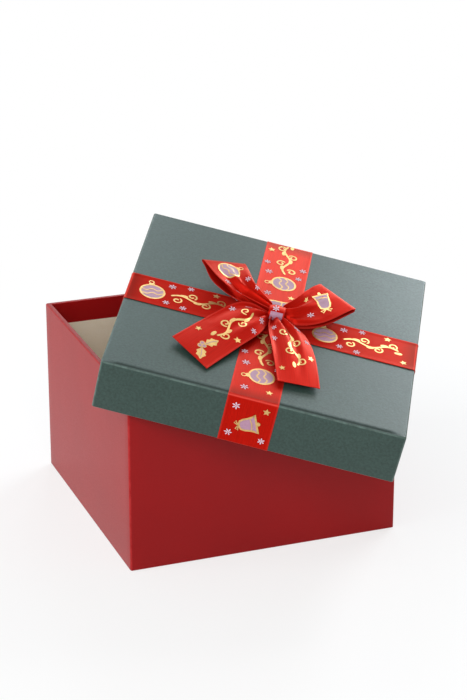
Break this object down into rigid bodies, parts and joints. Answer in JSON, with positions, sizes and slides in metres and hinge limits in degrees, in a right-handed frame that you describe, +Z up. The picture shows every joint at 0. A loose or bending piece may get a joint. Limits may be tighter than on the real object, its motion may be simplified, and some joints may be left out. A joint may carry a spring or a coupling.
{
  "type": "gift box",
  "caption": "Rigid paper-covered gift box: an open red base and a green lift-off lid tied with a printed red satin ribbon cross and bow; the lid lies askew on the rim.",
  "frame": {"origin": "middle of the base's underside, on the surface it stands on", "axes": "+X right along the base's front face, +Y to its back, +Z up"},
  "size_m": [0.2054, 0.2114, 0.1453],
  "materials": {
    "greyboard": "matte",
    "stay_paper": "matte",
    "red_paper": "satin",
    "green_paper": "satin",
    "cream_paper": "matte",
    "red_satin": "satin",
    "clear_tape": "satin",
    "hot_glue": "satin"
  },
  "bodies": {
    "base": {"base_bottom_board": "greyboard", "base_front_board": "greyboard", "base_back_board": "greyboard", "base_left_board": "greyboard", "base_right_board": "greyboard", "base_corner_stays": "stay_paper", "base_wrap": "red_paper", "base_bottom_sheet": "red_paper", "base_wall_liner": "cream_paper", "base_floor_liner": "cream_paper"},
    "lid": {"lid_top_board": "greyboard", "lid_front_board": "greyboard", "lid_back_board": "greyboard", "lid_left_board": "greyboard", "lid_right_board": "greyboard", "lid_corner_stays": "stay_paper", "lid_wrap": "green_paper", "lid_liner": "cream_paper", "ribbon_front_back": "red_satin", "ribbon_left_right": "red_satin", "ribbon_end_tapes": "clear_tape", "bow_left_loop": "red_satin", "bow_right_loop": "red_satin", "bow_left_tail": "red_satin", "bow_right_tail": "red_satin", "bow_knot": "red_satin", "bow_glue_dot": "hot_glue"}
  },
  "joints": [
    {"name": "lid_lift", "type": "slide", "parent": "base", "child": "lid", "axis": [0, 0, 1], "range_m": [0, 0.12]}
  ]
}
